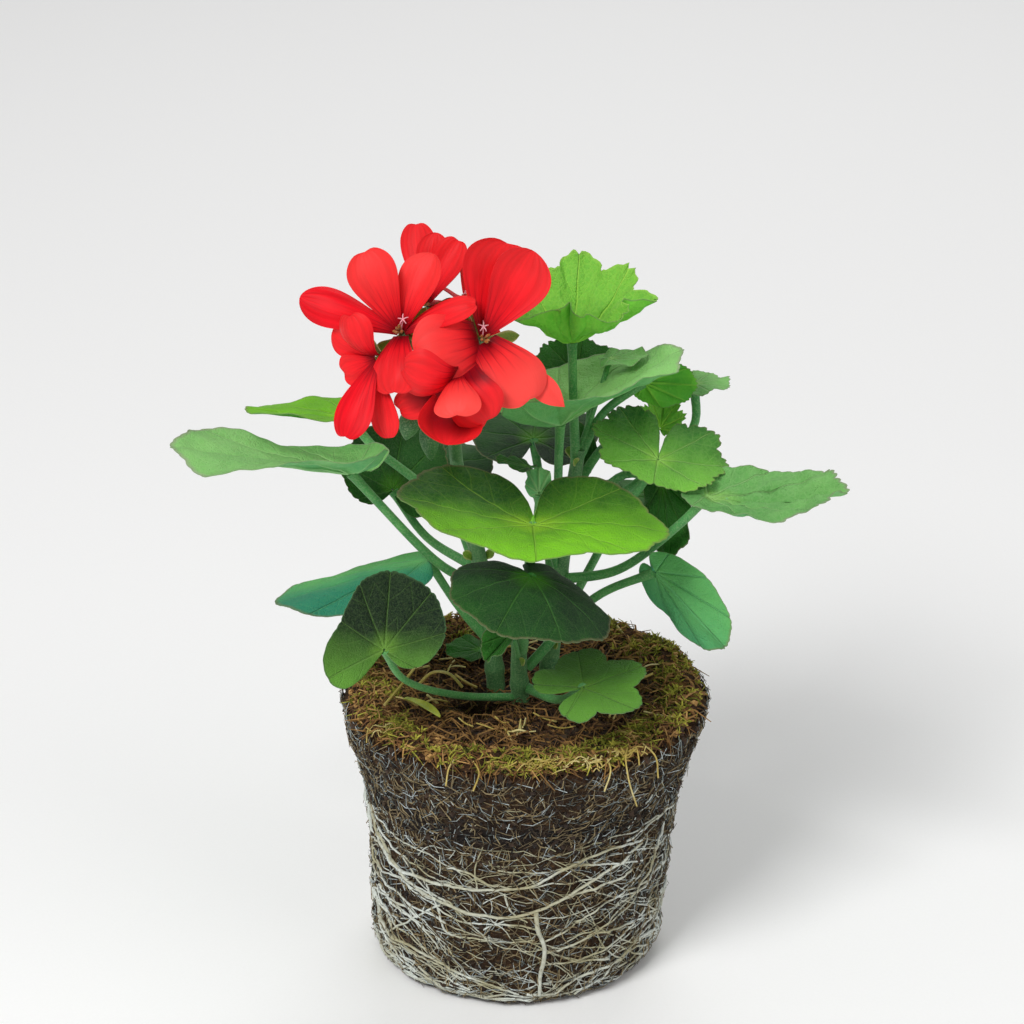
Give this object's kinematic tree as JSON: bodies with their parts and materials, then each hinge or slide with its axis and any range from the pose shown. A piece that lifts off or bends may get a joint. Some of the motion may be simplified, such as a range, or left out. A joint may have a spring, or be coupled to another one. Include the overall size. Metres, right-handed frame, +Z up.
{
  "type": "zonal-ivy hybrid geranium plant with a bare root ball",
  "caption": "Flowering geranium lifted out of its pot: orange-red umbel, round lobed leaves on long stalks, and a tapered fibrous root ball that stands on its flat base.",
  "frame": {"origin": "centre of the flat underside of the root ball, where it stands", "axes": "+Z up along the root ball, -Y towards the viewer at the front, +X to the right"},
  "size_m": [0.221, 0.1488, 0.269],
  "materials": {
    "peat": "dark fibrous peat, rough and matt, held together by roots",
    "moss": "yellow-green moss with straw fibres, matt",
    "root": "pale cream root, matt",
    "green_stem": "smooth soft green stalk with fine hairs, satin",
    "dark_leaf": "dark green leaf with a velvet sheen, matt",
    "mid_leaf": "fresh green leaf with a velvet sheen, matt",
    "young_leaf": "light yellow-green young leaf, matt",
    "pale_leaf": "grey-green leaf lit from above, with a velvet sheen, matt",
    "petal": "bright orange-red petal, satin"
  },
  "bodies": {
    "root": {"floret_back_petal_1": "petal", "floret_back_petal_2": "petal", "floret_back_petal_3": "petal", "floret_back_petal_4": "petal", "floret_back_petal_5": "petal", "floret_behind_petal_1": "petal", "floret_behind_petal_2": "petal", "floret_behind_petal_3": "petal", "floret_behind_petal_4": "petal", "floret_behind_petal_5": "petal", "floret_front_petal_1": "petal", "floret_front_petal_2": "petal", "floret_front_petal_3": "petal", "floret_front_petal_4": "petal", "floret_front_petal_5": "petal", "floret_left_petal_1": "petal", "floret_left_petal_2": "petal", "floret_left_petal_3": "petal", "floret_left_petal_4": "petal", "floret_left_petal_5": "petal", "floret_low_left_petal_1": "petal", "floret_low_left_petal_2": "petal", "floret_low_left_petal_3": "petal", "floret_low_left_petal_4": "petal", "floret_low_left_petal_5": "petal", "floret_right_petal_1": "petal", "floret_right_petal_2": "petal", "floret_right_petal_3": "petal", "floret_right_petal_4": "petal", "floret_right_petal_5": "petal", "flower_stalk": "green_stem", "leaf_back_right": "pale_leaf", "leaf_back_toothed": "dark_leaf", "leaf_base_curled": "dark_leaf", "leaf_base_front": "dark_leaf", "leaf_behind_left": "dark_leaf", "leaf_centre_folded": "dark_leaf", "leaf_front_large": "mid_leaf", "leaf_front_lower": "dark_leaf", "leaf_left_edge": "dark_leaf", "leaf_left_far": "pale_leaf", "leaf_left_low": "dark_leaf", "leaf_left_upper": "mid_leaf", "leaf_rear_centre": "dark_leaf", "leaf_rear_left": "dark_leaf", "leaf_rear_right": "dark_leaf", "leaf_right_hanging": "dark_leaf", "leaf_right_long": "pale_leaf", "leaf_right_low": "dark_leaf", "leaf_right_toothed": "mid_leaf", "leaf_upper_large": "pale_leaf", "leaf_upper_right": "dark_leaf", "leaf_young_top": "young_leaf", "moss_mat": "moss", "root_ball": "peat", "stem_front": "green_stem", "stem_left": "green_stem", "stem_right": "green_stem", "surface_root": "root", "young_shoot": "young_leaf"}
  },
  "joints": []
}
